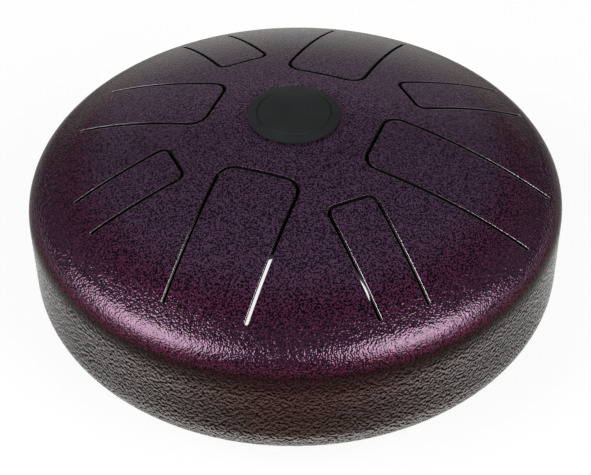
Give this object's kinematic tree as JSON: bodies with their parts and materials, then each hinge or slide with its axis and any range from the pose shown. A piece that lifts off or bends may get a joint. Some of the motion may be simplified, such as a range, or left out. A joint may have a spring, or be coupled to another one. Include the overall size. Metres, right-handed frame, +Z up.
{
  "type": "steel tongue drum",
  "caption": "Round steel tongue drum: domed upper and lower shells welded rim to rim, tongues freed by U-shaped slots, a rubber plug on top, a sound port and feet below.",
  "frame": {"origin": "on the axis of the drum, at the level of the table that its feet stand on", "axes": "+Z up along the axis of the drum, -Y towards its front, +X to the right seen from the front"},
  "size_m": [0.3048, 0.3048, 0.1561],
  "materials": {
    "shell_paint": "textured metallic powder coat",
    "plug_rubber": "matte",
    "trim_rubber": "matte",
    "foot_rubber": "matte",
    "zinc_steel": "bright zinc plate"
  },
  "bodies": {
    "root": {"top_shell": "shell_paint", "base_shell": "shell_paint", "centre_plug": "plug_rubber", "port_trim": "trim_rubber", "front_right_foot": "foot_rubber", "rear_right_foot": "foot_rubber", "rear_left_foot": "foot_rubber", "front_left_foot": "foot_rubber", "foot_inserts": "zinc_steel", "foot_screws": "zinc_steel", "foot_washers": "zinc_steel", "foot_nuts": "zinc_steel"}
  },
  "joints": []
}
